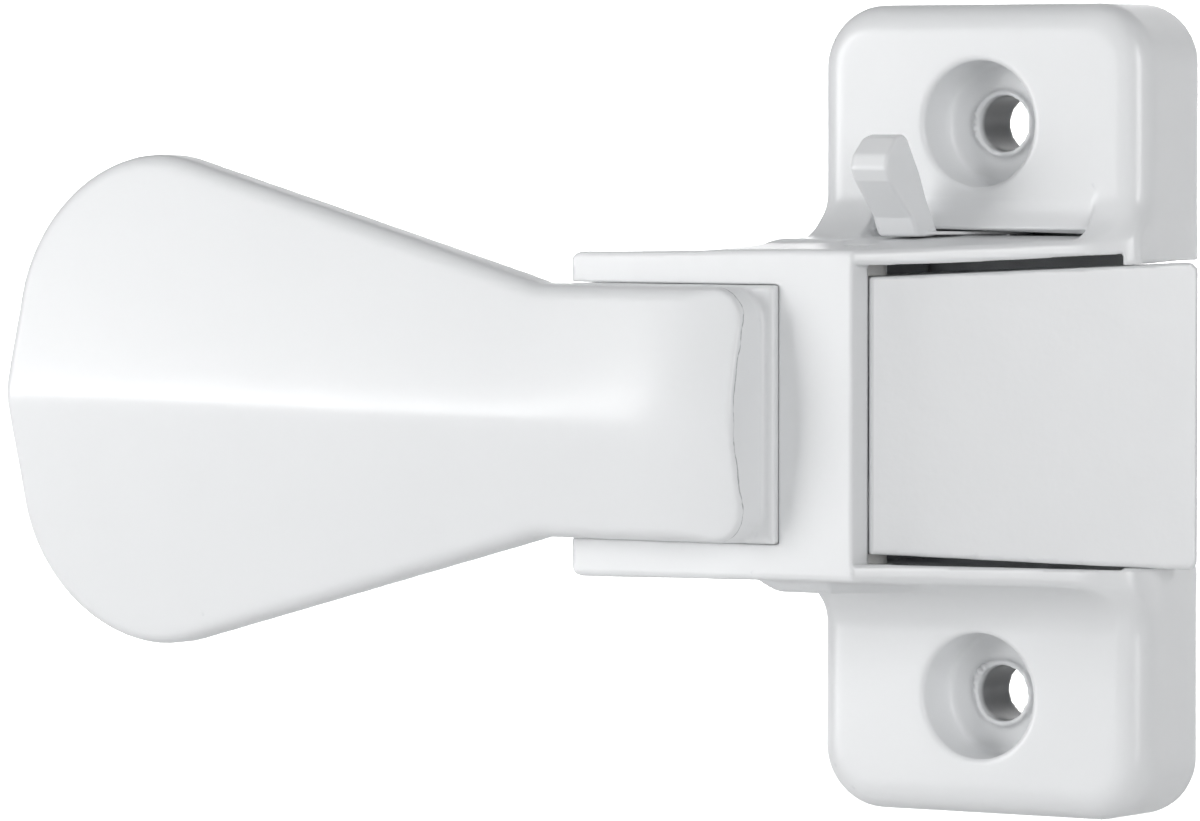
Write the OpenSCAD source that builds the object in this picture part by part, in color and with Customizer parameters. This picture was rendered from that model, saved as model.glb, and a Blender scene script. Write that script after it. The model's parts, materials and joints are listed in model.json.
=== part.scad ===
// Inside latch of a screen or storm door. X runs along the door toward its
// closing edge, -Y faces the room and +Z is up. The origin is the middle of the
// two mounting screws, on the face that lies against the door.

/* [Mounting base] */
// height of the base, along the door edge
base_h = 63; // [58:0.1:70]
// width of the base across the door
base_w = 29.3; // [26:0.1:32]
// depth of the base from the door to its face
base_t = 9; // [7:0.1:11]
// distance from the screw line to the base's left edge
base_left = 14.7; // [12:0.1:16]
// corner radius of the base seen from the front
base_corner_r = 5; // [3:0.1:6]
// rounding between the base's face and its sides
base_edge_r = 2.4; // [1:0.1:2.8]
// thickness of the cast walls
wall = 2; // [1.4:0.1:2.4]
// distance between the two mounting screws
hole_pitch = 44.45; // [40:0.05:50]
// diameter of the mounting screw holes
hole_d = 4.4; // [3.8:0.1:5.2]
// diameter of the counterbore round each mounting screw
counterbore_d = 9.8; // [8.5:0.1:10.5]
// depth of the counterbore
counterbore_t = 4.2; // [3:0.1:6]

/* [Housing] */
// distance from the door to the housing's front face
housing_f = 25; // [22:0.1:28]
// height of the housing at its front face
housing_h = 25.4; // [24:0.1:28]
// height of the opening between the two arms
yoke_gap = 19.9; // [18:0.1:22]
// reach of the arms beyond the screw line
arm_reach = 27.2; // [24:0.1:29]
// sideways spread of each cheek from the front face to the base
cheek_draft = 0.8; // [0.6:0.05:1.4]
// thickness of the cheeks beside the latch tongue
cheek_t = 1.15; // [0.9:0.05:1.3]

/* [Lever] */
// distance from the door to the lever's pivot pin
lever_pin_f = 19.5; // [18.5:0.1:20]
// distance from the screw line to the lever's pivot pin
lever_pin_reach = 21.5; // [20:0.1:22]
// diameter of the lever's pivot pin
lever_pin_d = 2.5; // [2:0.1:3]
// reach of the paddle beyond the screw line
paddle_reach = 78.4; // [70:0.1:80]
// height of the paddle at its widest
paddle_h = 39.4; // [34:0.1:42]
// height of the lever's neck
neck_h = 19.7; // [17:0.1:19.8]
// slope of the two faces of the paddle
paddle_roof = 16.5; // [8:0.5:20]
// distance from the door to the ridge along the paddle
ridge_f = 31; // [29.5:0.1:33]
// thickness of the paddle
paddle_t = 3.2; // [2.4:0.1:4]

/* [Latch tongue] */
// distance from the door to the tongue's pivot pin
tongue_pin_f = 19.8; // [19:0.1:20.5]
// distance from the screw line to the tongue's pivot pin
tongue_pin_reach = 4.2; // [3.5:0.1:5]
// diameter of the tongue's pivot pin
tongue_pin_d = 2; // [1.6:0.1:2.4]
// slope of the tongue's face to the door
tongue_slope = 40; // [36:0.5:42]
// distance from the pivot to the tongue's face
tongue_face_n = 4; // [3.6:0.1:4.2]
// length of the tongue's face
tongue_len = 25.6; // [23:0.1:26.5]
// height of the tongue at its hinged end
tongue_root_h = 21.1; // [19:0.1:22]
// height of the tongue at its tip
tongue_tip_h = 23.6; // [21:0.1:24]
// thickness of the tongue's face
tongue_t = 1.8; // [1.4:0.1:2]

/* [Night lock] */
// distance from the screw line to the lock's pivot
snib_x = 0; // [-1:0.1:2]
// distance from the door to the lock's pivot
snib_f = 4.8; // [4.4:0.1:5.4]
// distance from the pivot to the end of the lock's plate
snib_reach = 7.6; // [7:0.1:8.5]
// height of the finger's top above the screw line's middle
snib_top = 21.4; // [19:0.1:22]
// how far the lock stands to one side in its rest position
snib_rest = 34; // [25:1:38]

/* [Hidden] */
$fn = 64;
through = 0.5;
gap = 0.3;
fit = 0.05;

// base
base_right = base_w - base_left;
base_mid = (base_right - base_left) / 2;
hole_z = hole_pitch / 2;
screw_boss_r = counterbore_d / 2 + 1.2;
hole_lip_h = 0.35;
hole_lip_r = hole_d / 2 + 0.4;
skin_f = base_t - wall;
mouth_half = housing_h / 2 + cheek_draft;
collar_t = 0.2;
collar_f = 13;
lap = 0.15;
side_wall_t = 1.2;
lip_t = 0.75;
fillet_r = 4;
ear_f = 16;
notch_half = tongue_tip_h / 2 + 0.25;
notch_f = 6.2;
snug_half = tongue_tip_h / 2 - 0.05;
corner_screw_x = [-10.3, 10.2];
corner_screw_z = 27;
corner_boss_r = 1.9;
small_screw_r = 0.95;
plate_back_f = 1.2;
plate_t = 0.8;
plate_front_f = plate_back_f + plate_t;
slot_x = [-7.6, 9.4];
slot_z = [13.5, 14.15];
recess_z = 18.2;

// housing
half_h = housing_h / 2;
arm_in = yoke_gap / 2;
front_wall_t = 2.5;
opening_right = 8.33;
front_right = 1.76;
cheek_back_f = 2.3;

// lever
lever_pin = [-lever_pin_reach, lever_pin_f];
hub_half = neck_h / 2 - 0.1;
hub_skin_f = 24.2;
skirt_in = 9;
skirt_left = -18.4;
skirt_f = 18;
neck_right = 9.3;
neck_bottom_f = 25.4;
neck_end_f = 30;
neck_corner_r = 3;
lug_in = 7.4;
lug_out = 9.3;
lug_r = 2.7;
crank_half = 3;
nose = [-13.4, 16.8];
pad_top = [-0.6, 4];
pad_stud_r = 0.8;
pad_stud_t = 1.2;
pad_half = 2.1;
tip_r = 11.3;
flare_slope = 15;
neck_left = -28.6;
pad_t = 1;
lever_coil_r = 2;
lever_wire = 0.3;

// tongue
tongue_pin = [-tongue_pin_reach, tongue_pin_f];
barrel_r = 2.35;
tongue_root_gap = 0.25;
tail_half = 5;
tail_x = -13.5;
tail_f = [17.3, 19.2];
sleeve_r = 1.4;
tongue_coil_r = 1.85;
tongue_wire = 0.3;

// night lock
lock_z = [13.62, 14.04];
finger_at = [-1, 7.2];
finger_turn = 34;
finger_w = 3.5;
finger_low = 13.5;
finger_depth = 3.2;

// Turns a drawing made in (across, up) into one seen from the front, so that its
// third axis is the distance from the door.
module facing() {
    rotate([90, 0, 0])
        children();
}

// A plan outline given as (across, distance from the door), raised from z0 to z1.
module plan(z0, z1) {
    translate([0, 0, z0])
        mirror([0, 1, 0])
            linear_extrude(height = z1 - z0)
                children();
}

// A section outline given as (up, distance from the door), run from x0 to x1.
module section(x0, x1) {
    translate([x0, 0, 0])
        rotate([0, 0, 90])
            rotate([90, 0, 0])
                linear_extrude(height = x1 - x0)
                    rotate(90)
                        children();
}

// A round bar along the height at a plan position.
module post(at, r, z0, z1) {
    plan(z0, z1)
        translate(at)
            circle(r = r);
}

// A ring along the height at a plan position.
module ring(at, r_out, r_in, z0, z1) {
    plan(z0, z1)
        translate(at)
            difference() {
                circle(r = r_out);
                circle(r = r_in);
            }
}

// Half the outline of a round button with a softened front edge.
module button_half(r, t, edge) {
    square([r, t - edge]);
    square([r - edge, t]);
    translate([r - edge, t - edge])
        circle(r = edge);
}

// The full outline of a bar with two softened front edges.
module bar_outline(r, t, edge) {
    button_half(r, t, edge);
    mirror([1, 0])
        button_half(r, t, edge);
}

// A flat block with rounded corners whose front edge is softened all round.
module soft_block(w, h, t, corner, edge) {
    cx = w / 2 - corner;
    cz = h / 2 - corner;
    for (x = [-cx, cx])
        for (z = [-cz, cz])
            translate([x, z, 0])
                rotate_extrude()
                    button_half(corner, t, edge);
    for (x = [-cx, cx])
        translate([x, cz, 0])
            rotate([90, 0, 0])
                linear_extrude(height = 2 * cz)
                    bar_outline(corner, t, edge);
    for (z = [-cz, cz])
        translate([-cx, z, 0])
            rotate([90, 0, 90])
                linear_extrude(height = 2 * cx)
                    bar_outline(corner, t, edge);
    translate([-cx, -cz, 0])
        cube([2 * cx, 2 * cz, t]);
}

// A plain rounded rectangle.
module rounded(w, h, r) {
    square([w - 2 * r, h], center = true);
    square([w, h - 2 * r], center = true);
    for (x = [r - w / 2, w / 2 - r])
        for (z = [r - h / 2, h / 2 - r])
            translate([x, z])
                circle(r = r);
}

// The fillet and collar where the base rises to meet a cheek, as (up, out).
module collar_outline() {
    z0 = mouth_half - lap;
    difference() {
        translate([z0, skin_f])
            square([mouth_half + fillet_r + collar_t - z0, collar_f - skin_f]);
        translate([mouth_half + fillet_r + collar_t, collar_f])
            circle(r = fillet_r);
    }
}

// The ear of the collar, which follows the cheek up toward the arm, as (up, out).
module ear_outline() {
    spread = cheek_draft / (housing_f - base_t);
    z_low = mouth_half - lap;
    z_high = z_low - spread * (ear_f - base_t);
    polygon([[z_low, base_t - 1], [z_low, base_t], [z_high, ear_f], [z_high + 0.55, ear_f],
        [z_low + 0.5, collar_f - 1], [z_low + 0.5, base_t - 1]]);
}

// The shallow fillet left above the lock's slot, as (up, out).
module lip_outline() {
    top = slot_z[1] + sqrt(pow(fillet_r, 2) - pow(fillet_r - lip_t, 2));
    difference() {
        translate([slot_z[1], skin_f])
            square([top - slot_z[1], wall + lip_t]);
        translate([top, base_t + fillet_r])
            circle(r = fillet_r);
    }
}

module base_collar() {
    left = -base_left + base_edge_r / 4;
    intersection() {
        section(left, base_right - 0.8)
            collar_outline();
        plan(0, base_h)
            polygon([[left, skin_f], [left, collar_f + 1], [11.2 - cheek_t, collar_f],
                [base_right - 0.8, base_t + 0.3], [base_right - 0.8, skin_f]]);
    }
    intersection() {
        section(left, base_right)
            ear_outline();
        plan(0, base_h)
            polygon([[left, skin_f], [left, ear_f - 0.8], [left + 0.8, ear_f], [-9, ear_f],
                [-4, collar_f - 1.5], [4, skin_f]]);
    }
}

module base() {
    difference() {
        union() {
            difference() {
                facing()
                    translate([base_mid, 0, 0])
                        soft_block(base_w, base_h, base_t, base_corner_r, base_edge_r);
                facing()
                    translate([base_mid, 0, -through])
                        linear_extrude(height = skin_f + through)
                            rounded(base_w - 2 * wall, base_h - 2 * wall, base_corner_r - wall);
            }
            base_collar();
            mirror([0, 0, 1])
                base_collar();
            facing()
                for (z = [-hole_z, hole_z])
                    translate([0, z, 0])
                        cylinder(r = screw_boss_r, h = skin_f + through);
            facing()
                for (x = corner_screw_x)
                    for (z = [-corner_screw_z, corner_screw_z])
                        translate([x, z, plate_front_f])
                            cylinder(r = corner_boss_r, h = skin_f - plate_front_f + through);
        }
        facing()
            for (z = [-hole_z, hole_z])
                translate([0, z, 0]) {
                    difference() {
                        translate([0, 0, base_t - counterbore_t])
                            cylinder(d = counterbore_d, h = counterbore_t + fillet_r);
                        cylinder(r = hole_lip_r, h = base_t - counterbore_t + hole_lip_h);
                    }
                    translate([0, 0, -through])
                        cylinder(d = hole_d, h = base_t);
                }
        facing()
            for (x = corner_screw_x)
                for (z = [-corner_screw_z, corner_screw_z])
                    translate([x, z, 0])
                        cylinder(r = small_screw_r + fit, h = skin_f - 0.4);
        translate([-base_left + wall, -base_t - through, -mouth_half + lap])
            cube([base_w - wall - side_wall_t, wall + 2 * through, 2 * (mouth_half - lap)]);
        translate([base_right - 2 * wall, -base_t - through, -snug_half])
            cube([3 * wall, base_t + 2 * through, 2 * snug_half]);
        translate([base_right - 2 * wall, -notch_f, -notch_half])
            cube([3 * wall, notch_f + through, 2 * notch_half]);
        translate([slot_x[0], -ear_f, slot_z[0] - 1])
            cube([slot_x[1] - slot_x[0], ear_f - plate_front_f, slot_z[1] - slot_z[0] + 1]);
        difference() {
            plan(slot_z[0] - 1, recess_z)
                polygon([[slot_x[0] - 1.2, base_t], [slot_x[0] - 1.2, ear_f], [slot_x[1] + 1.2, ear_f],
                    [slot_x[1] + 0.6, base_t]]);
            section(slot_x[0] - wall, slot_x[1] + wall)
                lip_outline();
        }
    }
}

// One side of the housing, as (up, distance from the door), thick enough for the arm.
module cheek_outline(inner) {
    polygon([[inner, housing_f], [half_h, housing_f], [half_h + cheek_draft, base_t],
        [half_h + cheek_draft, cheek_back_f], [inner, cheek_back_f]]);
}

module cheek_plan() {
    polygon([[-arm_reach + 0.6, housing_f], [-arm_reach, housing_f - 0.6], [-arm_reach, 16.6],
        [-24, 15.4], [-18, 14.4], [-15.2, 13], [-14.2, base_t + 0.2], [-12.5, base_t + 0.2],
        [-12.5, cheek_back_f], [12.2, cheek_back_f], [12.2, 8.8], [base_right - 0.2, 8.8],
        [-front_right, housing_f]]);
}

module housing_side() {
    inner_front = half_h - cheek_t;
    difference() {
        intersection() {
            union() {
                section(-base_left, base_right)
                    cheek_outline(inner_front);
                section(-base_left, -opening_right)
                    cheek_outline(arm_in);
                section(-arm_reach, lap - base_left)
                    translate([arm_in, cheek_back_f])
                        square([half_h - arm_in, housing_f - cheek_back_f]);
            }
            plan(arm_in - 1, mouth_half + 1)
                cheek_plan();
        }
        section(-front_right - 1, base_right + 1)
            polygon([[arm_in - 1, housing_f - front_wall_t], [inner_front - 0.1, housing_f - front_wall_t],
                [mouth_half - cheek_t, base_t], [mouth_half - cheek_t, 0], [arm_in - 1, 0]]);
    }
}

module yoke() {
    difference() {
        union() {
            housing_side();
            mirror([0, 0, 1])
                housing_side();
            plan(-half_h + 0.5, half_h - 0.5)
                polygon([[-opening_right, housing_f - front_wall_t], [-opening_right, housing_f],
                    [-front_right, housing_f], [-front_right, housing_f - front_wall_t]]);
        }
        post(lever_pin, lever_pin_d / 2 + fit, -base_h, base_h);
        post(tongue_pin, tongue_pin_d / 2 + fit, -base_h, base_h);
        translate([snib_x, -snib_f, 0])
            cylinder(r = 1 + fit, h = base_h);
    }
}

module body_casting() {
    color("white")
        union() {
            base();
            yoke();
        }
}

module pan_screw(at, head_f, tip_f) {
    facing()
        translate([at[0], at[1], 0]) {
            translate([0, 0, head_f - 0.9])
                difference() {
                    cylinder(r = 1.75, h = 0.9);
                    translate([-0.25, -2, -0.6])
                        cube([0.5, 4, 1]);
                }
            translate([0, 0, head_f - 0.2])
                cylinder(r = small_screw_r, h = tip_f - head_f + 0.2);
        }
}

module back_plate() {
    color("lightgray")
        facing()
            translate([0, 0, plate_back_f])
                difference() {
                    linear_extrude(height = plate_t)
                        difference() {
                            translate([base_mid, 0])
                                rounded(base_w - 2 * wall - 0.4, base_h - 2 * wall - 0.4, 2.6);
                            for (z = [-hole_z, hole_z])
                                translate([0, z])
                                    circle(r = screw_boss_r + 0.2);
                            for (x = corner_screw_x)
                                for (z = [-corner_screw_z, corner_screw_z])
                                    translate([x, z])
                                        circle(r = small_screw_r + fit);
                            circle(r = 3.6);
                            translate([9.4, -notch_half])
                                square([8, 2 * notch_half]);
                        }
                }
}

module back_plate_screws() {
    color("silver")
        for (x = corner_screw_x)
            for (z = [-corner_screw_z, corner_screw_z])
                pan_screw([x, z], plate_back_f, 6.2);
}

// The paddle seen from the front, as (across, up).
module paddle_outline() {
    wide = paddle_h / 2;
    neck = neck_h / 2;
    tip = [-paddle_reach + tip_r, wide - tip_r];
    flare = [tip[0] + tip_r * sin(flare_slope), tip[1] + tip_r * cos(flare_slope)];
    end = -neck_right - neck_corner_r;
    polygon([[end, neck], [neck_left, neck], flare, tip, [-paddle_reach, tip[1]], [-paddle_reach, -tip[1]],
        [tip[0], -tip[1]], [flare[0], -flare[1]], [neck_left, -neck], [end, -neck],
        [-neck_right, neck_corner_r - neck], [-neck_right, neck - neck_corner_r]]);
    for (side = [-1, 1]) {
        translate([tip[0], side * tip[1]])
            circle(r = tip_r);
        translate([end, side * (neck - neck_corner_r)])
            circle(r = neck_corner_r);
    }
}

// The paddle's roof-shaped section, as (up, distance from the door).
module roof_outline() {
    half = paddle_h / 2 + 1;
    drop = half * tan(paddle_roof);
    polygon([[-half, ridge_f - drop], [0, ridge_f], [half, ridge_f - drop],
        [half, ridge_f - drop - paddle_t], [0, ridge_f - paddle_t], [-half, ridge_f - drop - paddle_t]]);
}

// The solid neck, whose end rolls toward the door, as (across, distance from the door).
module neck_plan() {
    polygon([[-26.4, neck_bottom_f], [-29.4, ridge_f - paddle_t], [-31, ridge_f], [-17.6, ridge_f],
        [-14.4, ridge_f - 0.15], [-11.8, ridge_f - 0.45], [-10.2, ridge_f - 0.75], [-neck_right, neck_end_f],
        [-neck_right, neck_bottom_f]]);
}

module neck_section() {
    half = neck_h / 2 + 1;
    drop = half * tan(paddle_roof);
    polygon([[-half, ridge_f - drop], [0, ridge_f], [half, ridge_f - drop], [half, neck_bottom_f - 1],
        [-half, neck_bottom_f - 1]]);
}

module crank_plan() {
    polygon([[-21.5, 21.8], [-15.2, 18.1], [-14, nose[1]], [-12.8, nose[1]], [-12, 15.6],
        [pad_top[0], pad_top[1] + 1.6], [pad_top[0] + 0.8, pad_top[1] + 0.9], [pad_top[0] + 0.8, pad_top[1]],
        [pad_top[0] - 2.6, pad_top[1]],
        [-14, 12.6], [-21, 16.8]]);
}

module paddle_lever() {
    color("white")
        difference() {
            union() {
                intersection() {
                    facing()
                        linear_extrude(height = housing_f + 10)
                            paddle_outline();
                    union() {
                        section(-paddle_reach - 1, -24)
                            roof_outline();
                        intersection() {
                            section(-paddle_reach, 0)
                                neck_section();
                            plan(-paddle_h, paddle_h)
                                neck_plan();
                        }
                    }
                }
                difference() {
                    translate([-26.4, -neck_bottom_f - 0.5, -hub_half])
                        cube([26.4 - opening_right - gap, neck_bottom_f + 0.5 - 22.7, 2 * hub_half]);
                    translate([-25, -neck_bottom_f - 1.2, -hub_half + 1.4])
                        cube([25 - opening_right - gap - 1.4, 10, 2 * hub_half - 2.8]);
                }
                for (side = [0, 1])
                    mirror([0, 0, side])
                        plan(lug_in, lug_out) {
                            translate(lever_pin)
                                circle(r = lug_r);
                            translate([lever_pin[0] - lug_r, lever_pin[1]])
                                square([2 * lug_r, 7]);
                        }
                for (side = [0, 1])
                    mirror([0, 0, side])
                        plan(skirt_in, hub_half)
                            polygon([[skirt_left, skirt_f], [skirt_left, hub_skin_f],
                                [-neck_right, hub_skin_f], [-neck_right, skirt_f]]);
                plan(-crank_half, crank_half)
                    crank_plan();
                plan(-crank_half, crank_half)
                    translate([-24.2, 19.5])
                        square([5.4, 6.6]);
            }
            post(lever_pin, lever_pin_d / 2 + fit, -base_h, base_h);
            facing()
                translate([pad_top[0] - 0.4, 0, pad_top[1] - pad_t])
                    cylinder(r = pad_stud_r + fit / 2, h = pad_t + pad_stud_t + 0.1);
        }
}

module plunger_pad() {
    color("ivory")
        facing()
            translate([pad_top[0] - 0.4, 0, pad_top[1] - pad_t]) {
                cylinder(r = pad_half, h = pad_t - 0.05);
                cylinder(r = pad_stud_r, h = pad_t + pad_stud_t);
            }
}

module lever_pivot_pin() {
    color("silver")
        post(lever_pin, lever_pin_d / 2, 0.2 - half_h, half_h - 0.2);
}

module lever_pin_clips() {
    color("gray")
        for (side = [0, 1])
            mirror([0, 0, side])
                ring(lever_pin, 2.1, lever_pin_d / 2 + fit, 6.6, 7.1);
}

module lever_washers() {
    color("ivory")
        for (side = [0, 1])
            mirror([0, 0, side])
                ring(lever_pin, 2.5, lever_pin_d / 2 + fit, lug_out + 0.1, arm_in - 0.1);
}

// A close-wound coil standing on a plan position, drawn as stacked turns.
module coil(at, r, wire, z0, turns) {
    translate([at[0], -at[1], z0])
        for (i = [0 : turns - 1])
            translate([0, 0, i * 1.7 * wire])
                rotate_extrude($fn = 28)
                    translate([r, 0])
                        circle(r = wire, $fn = 13);
}

// A straight leg of a spring from a plan position, at an angle from straight right.
module leg(from, angle, wire, length, z) {
    translate([from[0], -from[1], z])
        rotate([0, 0, angle])
            rotate([0, 90, 0])
                cylinder(r = 0.86 * wire, h = length, $fn = 16);
}

module lever_return_spring() {
    color("silver") {
        coil(lever_pin, lever_coil_r, lever_wire, 3.7, 6);
        leg([lever_pin[0], lever_pin[1] + lever_coil_r], 0, lever_wire, 14.2, 3.7 + 8.5 * lever_wire);
        leg([lever_pin[0] - lever_coil_r, lever_pin[1]], -90, lever_wire, 4.6, 3.7);
    }
}

// The tongue's outline seen square to its face, as (along, up).
module tongue_face(inset) {
    root = tongue_root_h / 2 - inset;
    tip = tongue_tip_h / 2 - inset;
    end = tongue_len - inset;
    difference() {
        polygon([[-12, root - 0.5], [0, root], [end, tip], [end, -tip], [0, -root], [-12, 0.5 - root]]);
        if (inset == 0)
            for (side = [0, 1])
                mirror([0, side])
                    translate([end, tip])
                        rotate(45)
                            square(0.6, center = true);
    }
}

// Moves a drawing whose first axis runs down the tongue and whose third is square
// to its face onto the tongue.
module on_tongue() {
    translate([tongue_pin[0], -tongue_pin[1], 0])
        rotate([0, 0, tongue_slope])
            rotate([90, 0, 0])
                children();
}

// The tongue's side outline, as (along, out from the pivot).
module tongue_side() {
    translate([tongue_root_gap, -1])
        square([4, tongue_face_n + 1]);
    polygon([[tongue_root_gap, tongue_face_n], [tongue_len, tongue_face_n],
        [tongue_len, tongue_face_n - tongue_t], [20, 1.2], [9, -2.2], [2, -2.35], [0, -barrel_r], [0, 0]]);
}

module tongue_prism(z0, z1) {
    translate([tongue_pin[0], -tongue_pin[1], z0])
        rotate([0, 0, tongue_slope])
            mirror([0, 1, 0])
                linear_extrude(height = z1 - z0)
                    children();
}

module latch_tongue() {
    side_t = 1.5;
    color("white")
        difference() {
            union() {
                difference() {
                    intersection() {
                        on_tongue()
                            translate([0, 0, -20])
                                linear_extrude(height = 40)
                                    tongue_face(0);
                        union() {
                            tongue_prism(-20, 20)
                                tongue_side();
                            post(tongue_pin, barrel_r, -20, 20);
                        }
                    }
                    difference() {
                        tongue_prism(side_t - tongue_root_h / 2, tongue_root_h / 2 - side_t)
                            polygon([[-6, -8], [-6, 6], [0.2, tongue_face_n - tongue_t],
                                [tongue_len + 1, tongue_face_n - tongue_t], [tongue_len + 1, -8]]);
                        post(tongue_pin, barrel_r, -tail_half, -4.2);
                        post(tongue_pin, barrel_r, 4.2, tail_half);
                    }
                }
                difference() {
                    plan(-tail_half, tail_half)
                        polygon([[tail_x, tail_f[0]], [tail_x, tail_f[1]], [-5.4, tail_f[1] + 1],
                            [-4.2, 22.1], [-2.6, 21.5], [-2.3, 18.3], [-4.2, 17.5]]);
                    plan(-4.2, 4.2)
                        translate(tongue_pin)
                            circle(r = barrel_r + 0.3);
                }
                plan(-tail_half, tail_half)
                    polygon([[tail_x, tail_f[0]], [tail_x, tail_f[1]], [-7.3, tail_f[1] + 0.5],
                        [-7.3, tail_f[0]]]);
            }
            post(tongue_pin, tongue_pin_d / 2 + fit, -20, 20);
        }
}

module tongue_pivot_pin() {
    color("silver")
        post(tongue_pin, tongue_pin_d / 2, -half_h - 0.15, half_h + 0.15);
}

module tongue_pin_clips() {
    color("gray")
        for (side = [0, 1])
            mirror([0, 0, side])
                ring(tongue_pin, 1.9, tongue_pin_d / 2 + fit, 8.2, 8.7);
}

module tongue_washers() {
    color("ivory")
        for (side = [0, 1])
            mirror([0, 0, side])
                ring(tongue_pin, 2.1, tongue_pin_d / 2 + fit, tongue_root_h / 2 + 0.08,
                    half_h - cheek_t - 0.1);
}

module tongue_spring_sleeve() {
    color("ivory")
        ring(tongue_pin, sleeve_r, tongue_pin_d / 2 + fit, -4, 4);
}

module tongue_spring() {
    at = tongue_pin;
    color("silver") {
        coil(at, tongue_coil_r, tongue_wire, -3.3, 9);
        leg([at[0], at[1] + tongue_coil_r], 180, tongue_wire, 4.6, -3.3);
        leg([at[0] + tongue_coil_r * sin(tongue_slope), at[1] + tongue_coil_r * cos(tongue_slope)],
            tongue_slope, tongue_wire, 9, 13.6 * tongue_wire - 3.3);
    }
}

// The lock's plate seen from above, as (across, distance from the door) about its pivot.
module lock_plan() {
    circle(r = 2.2);
    translate([-1.5, 0])
        square([3, snib_reach]);
    translate([0, snib_reach])
        circle(r = 1.5);
}

// The finger's side, as (up, out from its inner face).
module finger_side() {
    top = snib_top;
    polygon([[finger_low, 0], [finger_low, finger_depth], [finger_low + 1.7, finger_depth + 0.9],
        [top - 3.4, finger_depth + 4.1], [top - 2.6, finger_depth + 4.6], [top - 1.6, finger_depth + 4.3],
        [top - 0.2, finger_depth + 2.7], [top, finger_depth + 1.7], [top - 0.2, finger_depth + 1.3]]);
}

module night_lock() {
    color("white")
        translate([snib_x, -snib_f, 0])
            rotate([0, 0, -snib_rest]) {
                difference() {
                    plan(lock_z[0], lock_z[1])
                        lock_plan();
                    translate([0, 0, lock_z[0] - 1])
                        cylinder(r = 1 + fit, h = 3);
                }
                translate([finger_at[0], -finger_at[1], 0])
                    rotate([0, 0, finger_turn])
                        section(-finger_w / 2, finger_w / 2)
                            finger_side();
            }
}

module lock_rivet() {
    color("silver")
        translate([snib_x, -snib_f, 0]) {
            translate([0, 0, 12.5])
                cylinder(r = 1, h = 2.2);
            translate([0, 0, 14.4])
                cylinder(r = 1.8, h = 0.6);
        }
}

module lock_wave_washer() {
    color("gray")
        translate([snib_x, -snib_f, 0])
            difference() {
                translate([0, 0, lock_z[1] + 0.04])
                    cylinder(r = 1.9, h = 0.28);
                cylinder(r = 1 + fit, h = 20);
            }
}

body_casting();
back_plate();
back_plate_screws();
paddle_lever();
plunger_pad();
lever_pivot_pin();
lever_pin_clips();
lever_washers();
lever_return_spring();
latch_tongue();
tongue_pivot_pin();
tongue_pin_clips();
tongue_washers();
tongue_spring_sleeve();
tongue_spring();
night_lock();
lock_rivet();
lock_wave_washer();
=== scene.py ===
import json
import math

import bpy
import numpy as np
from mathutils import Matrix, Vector


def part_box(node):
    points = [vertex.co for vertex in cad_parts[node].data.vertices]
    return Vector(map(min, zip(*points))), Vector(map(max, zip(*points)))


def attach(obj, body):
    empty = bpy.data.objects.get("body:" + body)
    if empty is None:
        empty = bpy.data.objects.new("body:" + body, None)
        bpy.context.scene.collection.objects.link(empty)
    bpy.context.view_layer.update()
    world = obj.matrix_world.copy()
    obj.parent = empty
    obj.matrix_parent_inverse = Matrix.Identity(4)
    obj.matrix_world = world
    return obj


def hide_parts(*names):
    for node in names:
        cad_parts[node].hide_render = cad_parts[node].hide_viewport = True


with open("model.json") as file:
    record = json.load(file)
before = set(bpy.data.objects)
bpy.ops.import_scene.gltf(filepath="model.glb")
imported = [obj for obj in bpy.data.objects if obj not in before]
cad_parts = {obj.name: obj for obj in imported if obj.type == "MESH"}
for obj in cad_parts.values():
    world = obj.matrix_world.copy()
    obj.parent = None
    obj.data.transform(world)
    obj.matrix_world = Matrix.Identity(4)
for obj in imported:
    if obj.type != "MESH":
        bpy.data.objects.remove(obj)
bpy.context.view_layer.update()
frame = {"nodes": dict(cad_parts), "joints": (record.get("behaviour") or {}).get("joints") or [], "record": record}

MM = 0.001

# ---------------------------------------------------------------------------
# Distance fields. A shape is a function of (x, f, z) in millimetres, where f is
# the distance from the door, and is negative inside. Arrays may be broadcast.
# ---------------------------------------------------------------------------


def polygon(u, v, points):
    """Signed distance to a closed polygon in the plane (u, v)."""
    pts = np.asarray(points, float)
    nearest = np.full(np.broadcast(u, v).shape, 1e18)
    inside = np.zeros(nearest.shape, bool)
    for (ax, ay), (bx, by) in zip(pts, np.roll(pts, -1, axis=0)):
        ex, ey = bx - ax, by - ay
        wx, wy = u - ax, v - ay
        t = np.clip((wx * ex + wy * ey) / (ex * ex + ey * ey), 0, 1)
        nearest = np.minimum(nearest, (wx - ex * t) ** 2 + (wy - ey * t) ** 2)
        crosses = (ay > v) != (by > v)
        slope = ex / (ey if abs(ey) > 1e-12 else 1e-12)
        inside ^= crosses & (u < ax + slope * (v - ay))
    return np.where(inside, -1, 1) * np.sqrt(nearest)


def rectangle(u, v, u0, u1, v0, v1, r=0.0):
    """Signed distance to a rectangle with corners of radius r."""
    qu = np.abs(u - (u0 + u1) / 2) - (u1 - u0) / 2 + r
    qv = np.abs(v - (v0 + v1) / 2) - (v1 - v0) / 2 + r
    return np.hypot(np.maximum(qu, 0), np.maximum(qv, 0)) + np.minimum(np.maximum(qu, qv), 0) - r


def disc(u, v, cu, cv, r):
    return np.hypot(u - cu, v - cv) - r


def both(a, b, r=0.0):
    """What is inside a and b, with the edge between them rounded to radius r."""
    if np.isscalar(r) and r == 0:
        return np.maximum(a, b)
    return np.minimum(np.maximum(a, b), -r) + np.hypot(np.maximum(a + r, 0), np.maximum(b + r, 0))


def either(a, b, r=0.0):
    """What is inside a or b, with a fillet of radius r between them."""
    return -both(-a, -b, r)


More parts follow.
